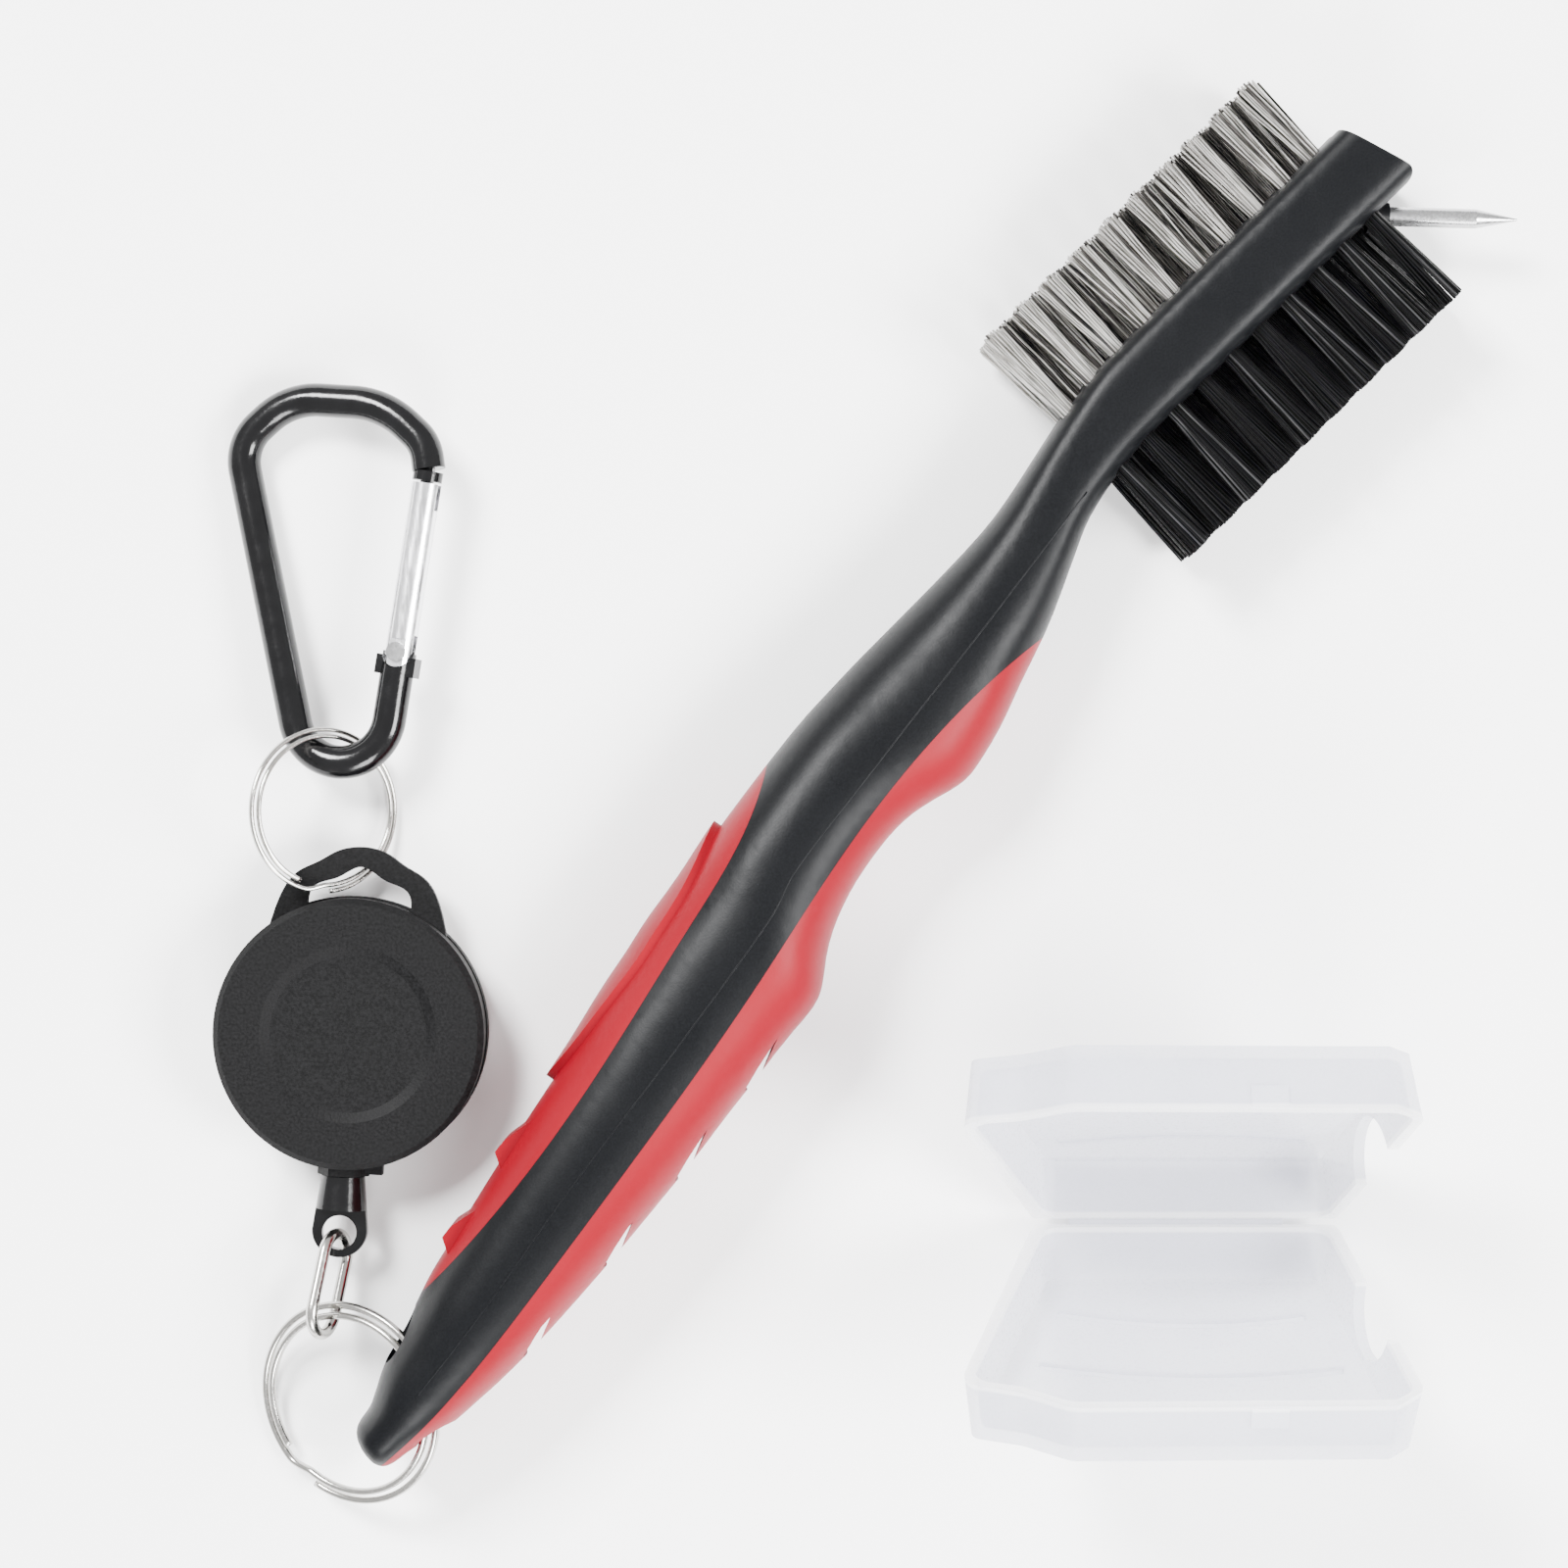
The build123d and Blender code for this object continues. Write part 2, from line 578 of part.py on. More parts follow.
def make_carabiner():
    """Body, gate, rivet and spring in the carabiner's own plane, origin at the bend's centre."""
    r = carabiner_bend_radius
    a = radians(spine_angle)
    g = radians(gate_angle)
    left = (-r * cos(a), -r * sin(a))
    right = (r * cos(g), -r * sin(g))
    gate_dir = (sin(g), cos(g))

    def along_gate(distance, across=0.0):
        return (
            right[0] + gate_dir[0] * distance + across * cos(g),
            right[1] + gate_dir[1] * distance - across * sin(g),
        )

    shoulder_height = carabiner_top - 5.2
    spine_top = left[0] - (shoulder_height - left[1]) * sin(a) / cos(a)
    gate_top = gate_pivot_along + gate_length
    nose_end = along_gate(gate_top + nose_gap)
    corners = [
        (nose_end[0], nose_end[1], 0),
        (nose_end[0] - 0.4, nose_end[1] + 3.1, 0),
        (nose_end[0] - 5.6, carabiner_top - 0.8, 0),
        (nose_end[0] - 17.4, carabiner_top + 0.2, 0),
        (spine_top, shoulder_height, 0),
        (left[0], left[1], 0),
    ]
    path = FilletPolyline(*corners, radius=[5.0, 11.0, 9.0, 5.5], close=False)
    bend = ThreePointArc((left[0], left[1], 0), (0, -r, 0), (right[0], right[1], 0))
    start = Plane(origin=(nose_end[0], nose_end[1], 0), z_dir=path % 0)
    upper = sweep(start * Circle(carabiner_wire_radius), path)
    bend_plane = Plane(origin=(left[0], left[1], 0), z_dir=bend % 0)
    lower = sweep(bend_plane * Circle(carabiner_wire_radius), bend)
    stub_plane = Plane(origin=(right[0], right[1], 0), z_dir=(gate_dir[0], gate_dir[1], 0))
    stub_solid = extrude(stub_plane * Circle(carabiner_wire_radius), gate_pivot_along)
    foot_room = gate_radius + foot_clearance

    # The foot's seat: shoulders on both sides of it and a tang that its slot takes.
    pivot = along_gate(gate_pivot_along)
    gate_place = Location((pivot[0], pivot[1], 0), (0, 0, -gate_angle))
    shoulders = Pos(0, -1.65, 0) * Box(4.9, 2.3, 2.4)
    seat = Cylinder(foot_room, 6) + Pos(0, 5, 0) * Box(2 * foot_room, 10, 6)
    tang_outline = Pos(0, -1.3) * Rectangle(2.8, 2.6) + Circle(1.4)
    tang = Pos(0, 0, -0.5) * extrude(tang_outline, 1.0)
    body = stub_solid + gate_place * shoulders
    body = body - gate_place * seat + gate_place * tang
    body = body + upper + lower

    # The nose's hook stands over the gate's end, and its tongue reaches into the gate's slot.
    hook_at = along_gate(gate_top + nose_gap / 2)
    tongue_length = 3.6
    hook = Cylinder(gate_radius, hook_height)
    hook = Rot(90, 0, 0) * hook + Pos(0, -0.4, 0) * Box(1.3, tongue_length, 1.0)
    body += Location((hook_at[0], hook_at[1], 0), (0, 0, -gate_angle)) * hook

    # The gate: a round bar with slots for the tang and the tongue, and a spring bore.
    bar = Rot(90, 0, 0) * Cylinder(gate_radius, gate_length + gate_radius)
    bar = Pos(0, (gate_length - gate_radius) / 2, 0) * bar
    flat = Pos(0, gate_length / 2, 0) * Box(2 * gate_radius, gate_length, 6)
    gate = bar & (flat + Cylinder(gate_radius, 6))
    gate -= Pos(0, gate_length - 0.5, 0) * Box(6, 5.2, 1.3)
    gate -= Box(6, 4.4, 1.3)
    for side in (-1, 1):
        gate -= Pos(0, 0, side * 2.5) * Box(6, 3.2, 2.0)
    gate -= Cylinder(rivet_radius + 0.05, 10)
    spring_place = Pos(0, 8.0, 0) * Rot(90, 0, 0)
    gate -= spring_place * Cylinder(0.75, 8.0)
    spring = spring_place * (Cylinder(0.75, 8.0) - Cylinder(0.45, 8.0))
    rivet = Cylinder(rivet_radius, 3.3)
    for head_height in (-1.75, 1.75):
        rivet += Pos(0, 0, head_height) * Cylinder(rivet_head_radius, 0.4)
    body -= gate_place * Cylinder(rivet_radius, 10)
    return {
        "carabiner_body": body,
        "carabiner_gate": gate_place * gate,
        "gate_spring": gate_place * spring,
        "gate_rivet": gate_place * rivet,
    }


# ---- the bristle cover ----
def cover_outline(inset):
    """The trapezoid of one half's rim, with a step for the finger at one free corner."""
    left = free_side[0]
    right = free_side[1]
    corners = [
        (hinge_side[0] + inset, inset),
        (hinge_side[1] - inset, inset),
        (right - inset, cover_width - 3.0),
        (right - 3.4, cover_width - inset),
        (left + 13.5, cover_width + 0.4 - inset),
        (left + 8.0, cover_width - 2.6 - inset),
        (left + 1.2 + inset, cover_width - 4.4 - inset / 2),
    ]
    radii = [2.2, 2.2, 2.0, 1.6, 4.0, 4.0, 2.2]
    return make_face(FilletPolyline(*corners, radius=radii, close=True))


def cover_half(bead_clearance):
    """One tray of the cover: hinge on the X axis, opening upwards (+Z), free edge at +Y."""
    depth = cover_depth
    outer = extrude(Pos(0, 0, -rim_gap) * cover_outline(0.0), -(depth - rim_gap), taper=cover_draft)
    hollow = depth - cover_wall + 0.5
    inner = extrude(Pos(0, 0, 0.5) * cover_outline(cover_wall), -hollow, taper=cover_draft)
    tray = outer - inner
    # Neck opening in the right-hand wall.
    notch = Pos(free_side[1] - 2, neck_notch_at, 0) * (Rot(0, 90, 0) * Cylinder(neck_notch_radius, 14))
    tray -= notch
    # Room for the living hinge's bead.
    tray -= Rot(0, 90, 0) * Cylinder(hinge_bead_radius + bead_clearance, 60)
    # Two low curved ribs across the panel.
    for y, reach in ((11.0, 13.5), (22.0, 16.5)):
        arc = ThreePointArc((-reach - 2, y - 1.2), (0, y + 1.2), (reach, y - 0.4))
        rib = extrude(trace(arc, 0.8), 0.7)
        tray += Pos(0, 0, -depth + cover_wall - 0.1) * rib
    # Latch lug at the free edge.
    lug = Pos(6.0, cover_width - 0.5, -1.6) * Box(4.2, 1.6, 2.6)
    tray += lug & Pos(0, 0, -5 - rim_gap) * Box(100, 100, 10)
    return tray


parts = {}
core, thumb_grip, finger_grip = make_handle()
wire_holes, wire_tufts, wire_anchors = tuft_parts(1, wire_tip_reach, wire_tip_radius)
nylon_holes, nylon_tufts, nylon_anchors = tuft_parts(-1, nylon_tip_reach, nylon_tip_radius)
pick, pick_hole, pick_boss = make_pick()
core = (core + pick_boss) - wire_holes - nylon_holes - pick_hole
slot = lanyard_slot()
parts["handle_core"] = on_table(core) - slot
parts["thumb_grip"] = on_table(thumb_grip) - slot
parts["finger_grip"] = on_table(finger_grip) - slot
parts["wire_tufts"] = on_table(Compound(wire_tufts))
parts["nylon_tufts"] = on_table(Compound(nylon_tufts))
parts["wire_tuft_anchors"] = on_table(Compound(wire_anchors))
parts["nylon_tuft_anchors"] = on_table(Compound(nylon_anchors))
parts["groove_pick"] = on_table(pick)

# Handle split ring, low at its far side and high where the link holds it.
handle_lean = radians(handle_ring_lean)
handle_ring_height = handle_ring_radius * sin(handle_lean)
handle_ring_height += handle_ring_thickness / 2 * cos(handle_lean)
handle_ring_frame = Pos(handle_ring_centre[0], handle_ring_centre[1], handle_ring_height)
handle_ring_frame *= Rot(0, 0, handle_ring_axis_turn) * Rot(handle_ring_lean, 0, 0)
handle_ring = make_ring(handle_ring_radius, handle_ring_band, handle_ring_thickness)
parts["handle_split_ring"] = handle_ring_frame * handle_ring

# Reel and the bell on its cord.
reel_frame = Location((reel_place[0], reel_place[1], 0), (0, 0, reel_turn))
for name, piece in make_reel().items():
    parts[name] = reel_frame * piece
bell, lead, bell_hole_y = make_bell()
parts["cord_end_bell"] = reel_frame * bell
parts["cord_lead"] = reel_frame * lead

# Oval link from the bell's hole to the band of the handle ring.
ring_band_radius = handle_ring_radius - handle_ring_band / 2
link_angle = radians(link_ring_angle)
ring_grip = Pos(ring_band_radius * cos(link_angle), ring_band_radius * sin(link_angle), 0)
link_low = (handle_ring_frame * ring_grip).position
link_top = (reel_frame * Pos(0, bell_hole_y - 0.3, cord_height)).position
along = link_top - link_low
link_length = along.length - link_inner_width / 2 - link_wire_radius
across = Vector(0, 0, -1).cross(along)
link_plane = Plane(origin=link_low, x_dir=across, z_dir=across.cross(along))
link_frame = link_plane.location * Rot(0, link_roll, 0) * Pos(0, link_length, 0)
parts["oval_link"] = link_frame * make_link(link_length)

# Reel split ring, through the loop's slot and over the carabiner's bend.
reel_lean = radians(reel_ring_lean)
reel_ring_height = reel_ring_radius * sin(reel_lean) + reel_ring_thickness / 2 * cos(reel_lean)
reel_ring_frame = Pos(reel_ring_centre[0], reel_ring_centre[1], reel_ring_height)
reel_ring_frame *= Rot(0, reel_ring_lean, 0)
reel_ring = make_ring(reel_ring_radius, reel_ring_band, reel_ring_thickness)
parts["reel_split_ring"] = reel_ring_frame * reel_ring

for name, piece in make_carabiner().items():
    parts[name] = carabiner_frame() * piece

# Cover: the lower half leans to the front, the upper half to the back.
cover_hinge_height = cover_depth * cos(radians(cover_lean)) - draft_lift
cover_hinge = Location((cover_hinge_place[0], cover_hinge_place[1], cover_hinge_height))
lower_tray = mirror(cover_half(0.0), about=Plane.YZ)
parts["cover_lower_half"] = cover_hinge * Rot(-cover_lean, 0, 0) * Rot(0, 0, 180) * lower_tray
parts["cover_upper_half"] = cover_hinge * Rot(cover_lean, 0, 0) * cover_half(0.08)
bead_middle = (hinge_web[0] + hinge_web[1]) / 2
bead = Rot(0, 90, 0) * Cylinder(hinge_bead_radius, hinge_web[1] - hinge_web[0])
parts["cover_living_hinge"] = cover_hinge * Pos(bead_middle, 0, 0) * bead

# The origin is the middle of the whole set's footprint, on the table.
boxes = [piece.bounding_box() for piece in parts.values()]
middle_x = (min(b.min.X for b in boxes) + max(b.max.X for b in boxes)) / 2
middle_y = (min(b.min.Y for b in boxes) + max(b.max.Y for b in boxes)) / 2
lowest = min(b.min.Z for b in boxes)
to_origin = Pos(-middle_x, -middle_y, -lowest)
os.makedirs("parts", exist_ok=True)
for name, piece in parts.items():
    export_step(to_origin * piece, f"parts/{name}.step")
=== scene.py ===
import math
import random

import bmesh
import bpy
from mathutils import Matrix, Vector
from mathutils.bvhtree import BVHTree


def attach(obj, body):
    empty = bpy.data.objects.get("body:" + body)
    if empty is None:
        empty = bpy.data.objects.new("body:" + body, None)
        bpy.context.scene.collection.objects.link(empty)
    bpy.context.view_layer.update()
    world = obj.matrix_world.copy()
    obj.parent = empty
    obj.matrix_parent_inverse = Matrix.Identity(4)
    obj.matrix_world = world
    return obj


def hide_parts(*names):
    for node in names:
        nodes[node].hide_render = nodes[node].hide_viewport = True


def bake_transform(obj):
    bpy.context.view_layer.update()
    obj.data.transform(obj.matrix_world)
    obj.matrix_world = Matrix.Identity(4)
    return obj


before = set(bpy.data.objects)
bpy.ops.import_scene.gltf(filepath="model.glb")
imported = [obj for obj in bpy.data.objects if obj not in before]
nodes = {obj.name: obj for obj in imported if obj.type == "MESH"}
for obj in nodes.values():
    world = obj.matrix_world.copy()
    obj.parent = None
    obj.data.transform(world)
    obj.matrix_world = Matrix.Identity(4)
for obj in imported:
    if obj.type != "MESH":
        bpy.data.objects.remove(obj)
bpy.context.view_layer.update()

# Club groove brush, laid out with its reel chain and open bristle cover.
# Sizes and places are given in millimetres and degrees; MM turns them into the scene's metres.

MM = 0.001

# ---- the set's own layout, as the model's row frame sees it ----
SHIFT = Vector((-0.094, -0.314, 0.0))  # from the layout's origin to the middle of the footprint
BRUSH_PLACE = Vector((-76.7, -58.3, 0.0))
BRUSH_TURN = math.radians(44.4)
REEL_PLACE = (-61.3, -28.2, 0.0)
REEL_TURN = math.radians(-3.5)
COVER_HINGE_PLACE = (38.5, -51.1, 2.594)
COVER_LEAN = math.radians(64.5)  # how steeply each half's rim rises from the table
CAMERA_PLACE = (-9.6, 1.5, 448.0)


def at(x, y, z):
    """A point of the layout, in metres, in the row frame."""
    return (Vector((x, y, z)) + SHIFT) * MM


BRUSH = Matrix.Translation((BRUSH_PLACE + SHIFT) * MM) @ Matrix.Rotation(BRUSH_TURN, 4, "Z")
REEL = Matrix.Translation(at(*REEL_PLACE)) @ Matrix.Rotation(REEL_TURN, 4, "Z")


def on_brush(x, y, z):
    """A point of the brush: x from butt to head, y to the wire side, z up."""
    return BRUSH @ (Vector((x, y, z)) * MM)


# ---- camera: straight above the middle of the set ----
camera_data = bpy.data.cameras.new("camera")
camera_data.lens = 85.0
camera_data.sensor_width = 36.0
camera_data.clip_start = 0.01
camera = bpy.data.objects.new("camera", camera_data)
camera.location = at(*CAMERA_PLACE)
bpy.context.scene.collection.objects.link(camera)
bpy.context.scene.camera = camera


# ---- materials ----
class Shader:
    """A small helper that builds one Principled material from nodes."""

    def __init__(self, name, **values):
        self.material = bpy.data.materials.new(name)
        self.material.use_nodes = True
        self.tree = self.material.node_tree
        self.bsdf = self.tree.nodes["Principled BSDF"]
        for key, value in values.items():
            self.bsdf.inputs[key.replace("_", " ")].default_value = value
        self.coordinates = self.node("ShaderNodeTexCoord").outputs["Object"]

    def node(self, kind, **settings):
        made = self.tree.nodes.new(kind)
        for key, value in settings.items():
            setattr(made, key, value)
        return made

    def link(self, output, socket):
        self.tree.links.new(output, socket)

    def stretched(self, scale, turn=0.0):
        """Object coordinates along axes turned about Z by turn, then scaled, for streaks."""
        mapping = self.node("ShaderNodeMapping", vector_type="TEXTURE")
        mapping.inputs["Rotation"].default_value = (0.0, 0.0, turn)
        mapping.inputs["Scale"].default_value = [1.0 / value for value in scale]
        self.link(self.coordinates, mapping.inputs["Vector"])
        return mapping.outputs["Vector"]

    def noise(self, scale, detail=3.0, roughness=0.55, vector=None):
        """Noise with scale features to the metre."""
        made = self.node("ShaderNodeTexNoise")
        made.inputs["Scale"].default_value = scale
        made.inputs["Detail"].default_value = detail
        made.inputs["Roughness"].default_value = roughness
        self.link(vector or self.coordinates, made.inputs["Vector"])
        return made.outputs["Fac"]

    def ramp(self, value, source, target=(0.0, 1.0)):
        """Map value from the source range to the target range."""
        made = self.node("ShaderNodeMapRange")
        ends = {"From Min": source[0], "From Max": source[1], "To Min": target[0], "To Max": target[1]}
        for key, end in ends.items():
            made.inputs[key].default_value = end
        self.link(value, made.inputs["Value"])
        return made.outputs["Result"]

    def mix(self, factor, a, b):
        """Mix two colours by factor; a colour may also be a node's output."""
        made = self.node("ShaderNodeMix", data_type="RGBA")
        self.link(factor, made.inputs["Factor"])
        for key, value in (("A", a), ("B", b)):
            socket = next(x for x in made.inputs if x.name == key and x.type == "RGBA")
            if isinstance(value, tuple):
                socket.default_value = (*value, 1.0)
            else:
                self.link(value, socket)
        return next(x for x in made.outputs if x.type == "RGBA")

    def combine(self, operation, a, b):
        """The sum or product of two outputs; b may also be a number."""
        made = self.node("ShaderNodeMath", operation=operation)
        self.link(a, made.inputs[0])
        if isinstance(b, float):
            made.inputs[1].default_value = b
        else:
            self.link(b, made.inputs[1])
        return made.outputs["Value"]

    def bump(self, height, distance):
        """Relief as deep as distance, in millimetres."""
        made = self.node("ShaderNodeBump")
        made.inputs["Distance"].default_value = distance * MM
        made.inputs["Strength"].default_value = 1.0
        self.link(height, made.inputs["Height"])
        self.link(made.outputs["Normal"], self.bsdf.inputs["Normal"])

    def colour(self, output):
        self.link(output, self.bsdf.inputs["Base Color"])

    def rough(self, output):
        self.link(output, self.bsdf.inputs["Roughness"])


NOISE_MIDDLE = (0.3, 0.7)  # the range that nearly all of a noise node's output is in
PRODUCT_MIDDLE = (0.1, 0.4)  # the same for the product of two noises


def moulded_plastic(name, dark, light, grain, depth, roughness):
    """Moulded plastic with a spark-eroded grain: grain and depth are its size in millimetres."""
    s = Shader(name, IOR=1.5, Specular_IOR_Level=0.1)
    fine = s.noise(1.0 / (grain * MM), detail=2.0, roughness=0.6)
    broad = s.noise(90.0)
    s.colour(s.mix(s.ramp(fine, (0.35, 0.75)), dark, light))
    wear = s.combine("ADD", s.combine("MULTIPLY", fine, 0.6), s.combine("MULTIPLY", broad, 0.4))
    s.rough(s.ramp(wear, NOISE_MIDDLE, roughness))
    s.bump(fine, depth)
    return s.material


def soft_rubber(name, low, high):
    """Matt rubber, with a very fine grain and a slow drift of colour."""
    s = Shader(name, IOR=1.45, Specular_IOR_Level=0.12)
    fine = s.noise(5200.0, detail=2.0, roughness=0.5)
    broad = s.noise(60.0, detail=2.0)
    s.colour(s.mix(broad, low, high))
    s.rough(s.ramp(broad, NOISE_MIDDLE, (0.38, 0.5)))
    s.bump(fine, 0.012)
    return s.material


def plated_wire(name, low, high, roughness, scale=(1, 1, 1)):
    """Nickel plate or steel: bright metal with fine drawing marks and faint smears."""
    s = Shader(name, Metallic=1.0)
    marks = s.noise(2600.0, roughness=0.6, vector=s.stretched(scale))
    smear = s.noise(140.0)
    s.colour(s.mix(smear, low, high))
    s.rough(s.ramp(s.combine("MULTIPLY", marks, smear), PRODUCT_MIDDLE, roughness))
    s.bump(marks, 0.004)
    return s.material


def gloss_anodised(name):
    """Glossy black finish over a slightly uneven surface, with fine dust in it."""
    s = Shader(name, IOR=1.5, Specular_IOR_Level=0.3)
    ripple = s.noise(420.0, roughness=0.5)
    dust = s.noise(3500.0, detail=2.0, roughness=0.6)
    s.colour(s.mix(ripple, (0.001, 0.001, 0.0012), (0.003, 0.003, 0.0034)))
    s.rough(s.ramp(s.combine("MULTIPLY", ripple, dust), PRODUCT_MIDDLE, (0.1, 0.22)))
    s.bump(s.combine("ADD", ripple, s.combine("MULTIPLY", dust, 0.25)), 0.03)
    return s.material


def frosted_cover(name, node=None, side=0):
    """Milky polypropylene with a painted highlight whitening a half's rim; side is 1 for the upper half, -1
    for the lower.
    """
    s = Shader(name, IOR=1.49, Alpha=0.5, Specular_IOR_Level=0.4)
    haze = s.noise(120.0)
    frost = s.noise(2400.0, detail=2.0, roughness=0.6)
    body = s.mix(haze, (0.56, 0.57, 0.65), (0.66, 0.67, 0.74))
    s.rough(s.ramp(frost, NOISE_MIDDLE, (0.22, 0.4)))
    s.bump(frost, 0.02)
    if node is None:
        s.colour(body)
        return s.material
    # The rim's plane runs through the hinge; both are carried into the node's own coordinates.
    into_node = nodes[node].matrix_world.inverted()
    normal = Vector((0.0, -side * math.sin(COVER_LEAN), math.cos(COVER_LEAN)))
    normal = (into_node.to_3x3() @ normal).normalized()
    foot = normal.dot(into_node @ at(*COVER_HINGE_PLACE))
    height = s.node("ShaderNodeVectorMath", operation="DOT_PRODUCT")
    height.inputs[1].default_value = normal
    s.link(s.coordinates, height.inputs[0])
    # The painted rim highlight starts 0.9 mm under the rim's plane and is full at 0.6 mm.
    rim = s.ramp(height.outputs["Value"], (foot - 0.9 * MM, foot - 0.6 * MM))
    s.colour(s.mix(rim, body, (0.98, 0.98, 0.99)))
    return s.material


def filament(name, low, high, **values):
    """Bristle stock with streaks that run along the filaments."""
    s = Shader(name, **values)
    across, along = 3000.0, 110.0
    streaks = s.stretched((across, along, across), BRUSH_TURN)
    streak = s.noise(1.0, detail=2.0, roughness=0.7, vector=streaks)
    s.colour(s.mix(s.ramp(streak, (0.38, 0.6)), low, high))
    s.rough(s.ramp(streak, NOISE_MIDDLE, (0.42, 0.26)))
    return s.material


BLACK = moulded_plastic(
    "handle_black", dark=(0.0016, 0.0018, 0.0023), light=(0.0032, 0.0036, 0.0044),
    grain=0.2, depth=0.012, roughness=(0.34, 0.46),
)
REEL_BLACK = moulded_plastic(
    "reel_black", dark=(0.0008, 0.0008, 0.0009), light=(0.005, 0.005, 0.0054),
    grain=0.34, depth=0.06, roughness=(0.5, 0.7),
)
RED = soft_rubber("grip_red", (0.15, 0.0002, 0.0055), (0.18, 0.0003, 0.007))
NICKEL = plated_wire("nickel", (0.36, 0.35, 0.33), (0.52, 0.51, 0.49), (0.1, 0.3))
STEEL = plated_wire("steel", (0.38, 0.38, 0.38), (0.55, 0.55, 0.56), (0.16, 0.36))
BRIGHT = plated_wire(
    "bright_aluminium", (0.78, 0.78, 0.8), (0.92, 0.92, 0.94), (0.14, 0.36), scale=(1, 0.15, 1),
)
ANODISED = gloss_anodised("anodised_black")
MOULDED_GLOSS = gloss_anodised("bell_gloss_black")
FROSTED = frosted_cover("frosted_polypropylene")
FROSTED_LOWER = frosted_cover("frosted_lower_half", "cover_lower_half", -1)
FROSTED_UPPER = frosted_cover("frosted_upper_half", "cover_upper_half", 1)
# Dark strands: dirt and dark streaks on the wire in the outer rows, painted shade where they crowd the
# middle row.
WIRES = [
    filament("wire_bright", (0.3, 0.29, 0.27), (0.97, 0.95, 0.92), Metallic=1.0),
    filament("wire_dirt_and_painted_shade", (0.012, 0.012, 0.011), (0.16, 0.15, 0.14), Metallic=1.0),
]
# Lighter strands of the stock, kept scarce in the middle row to paint shade on it.
NYLONS = [
    filament("nylon_black", (0.0004, 0.0004, 0.0005), (0.003, 0.003, 0.0032), Specular_IOR_Level=0.15),
    filament("nylon_lighter", (0.006, 0.006, 0.0065), (0.03, 0.03, 0.031), Specular_IOR_Level=0.3),
]
ACETAL = moulded_plastic(
    "spool_acetal", dark=(0.6, 0.6, 0.57), light=(0.7, 0.7, 0.67),
    grain=0.5, depth=0.01, roughness=(0.4, 0.5),
)
CORD = moulded_plastic(
    "cord_braid", dark=(0.008, 0.008, 0.008), light=(0.03, 0.03, 0.03),
    grain=0.3, depth=0.05, roughness=(0.6, 0.8),
)

finishes = {
    "handle_core": BLACK,
    "thumb_grip": RED,
    "finger_grip": RED,
    "wire_tuft_anchors": STEEL,
    "nylon_tuft_anchors": STEEL,
    "groove_pick": STEEL,
    "oval_link": NICKEL,
    "cord_end_bell": MOULDED_GLOSS,
    "reel_back_cover": REEL_BLACK,
    "reel_front_cover": REEL_BLACK,
    "reel_body_ring": REEL_BLACK,
    "cord_outlet_collar": REEL_BLACK,
    "reel_post_cap": ACETAL,
    "reel_power_spring": STEEL,
    "reel_spool": ACETAL,
    "cord_winding": CORD,
    "carabiner_body": ANODISED,
    "gate_rivet": STEEL,
    "carabiner_gate": BRIGHT,
    "gate_spring": STEEL,
    "cover_lower_half": FROSTED_LOWER,
    "cover_upper_half": FROSTED_UPPER,
    "cover_living_hinge": FROSTED,
}
for name, material in finishes.items():
    nodes[name].data.materials.clear()
    nodes[name].data.materials.append(material)


# ---- mesh helpers ----
def new_mesh(name, vertices, faces, material, smooth=True):
    mesh = bpy.data.meshes.new(name)
    mesh.from_pydata(vertices, [], faces)
    mesh.validate()
    mesh.materials.append(material)
    if smooth:
        mesh.shade_smooth()
    made = bpy.data.objects.new(name, mesh)
    bpy.context.scene.collection.objects.link(made)
    return made


def sweep_into(vertices, faces, path, directions, section):
    """Sweep a closed section, a list of (x, y), along path; directions has (x_dir, y_dir) for each point."""
    start = len(vertices)
    count = len(section)
    for point, (x_dir, y_dir) in zip(path, directions):
        for u, v in section:
            vertices.append(point + x_dir * u + y_dir * v)
    for i in range(len(path) - 1):
        a = start + i * count
        for k in range(count):
            n = (k + 1) % count
            faces.append((a + k, a + n, a + count + n, a + count + k))
    faces.append(tuple(start + k for k in reversed(range(count))))
    last = start + (len(path) - 1) * count
    faces.append(tuple(last + k for k in range(count)))


def rounded_section(width, height, power, count):
    """A superellipse, given in millimetres and made in metres: power 2 is round, larger is squarer."""
    points = []
    for k in range(count):
        a = 2 * math.pi * k / count
        c, s = math.cos(a), math.sin(a)
        u = abs(c) ** (2 / power) * math.copysign(width / 2, c)
        v = abs(s) ** (2 / power) * math.copysign(height / 2, s)
        points.append((u * MM, v * MM))
    return points


def smooth_step(x):
    x = min(max(x, 0.0), 1.0)
    return x * x * (3 - 2 * x)


# ---- the bristles: every filament is a real strand ----
TUFT_PITCH = 4.62
FIRST_TUFT = 144.3  # from the butt, along the brush
ROW_SPACING = 4.3
HEAD_MID_HEIGHT = 7.7
ROOT_REACH = 3.0  # how far from the head's middle plane the filaments start
BAR_HALF_WIDTH = 5.7
HOLE_RADIUS = 0.98
FLARE_POWER = 0.85  # under 1, so a tuft opens quickly and then more slowly
WAVE_TURN = 9.0  # radians of a filament's wave, from root to tip
GOLDEN_ANGLE = math.pi * (3 - math.sqrt(5))


def tuft_places():
    """The row, place along the brush and height of each tuft; the middle row has one fewer."""
    for row in (-1, 0, 1):
        count = 10 if row else 9
        start = FIRST_TUFT if row else FIRST_TUFT + TUFT_PITCH / 2
        for i in range(count):
            yield row, start + i * TUFT_PITCH, HEAD_MID_HEIGHT + row * ROW_SPACING


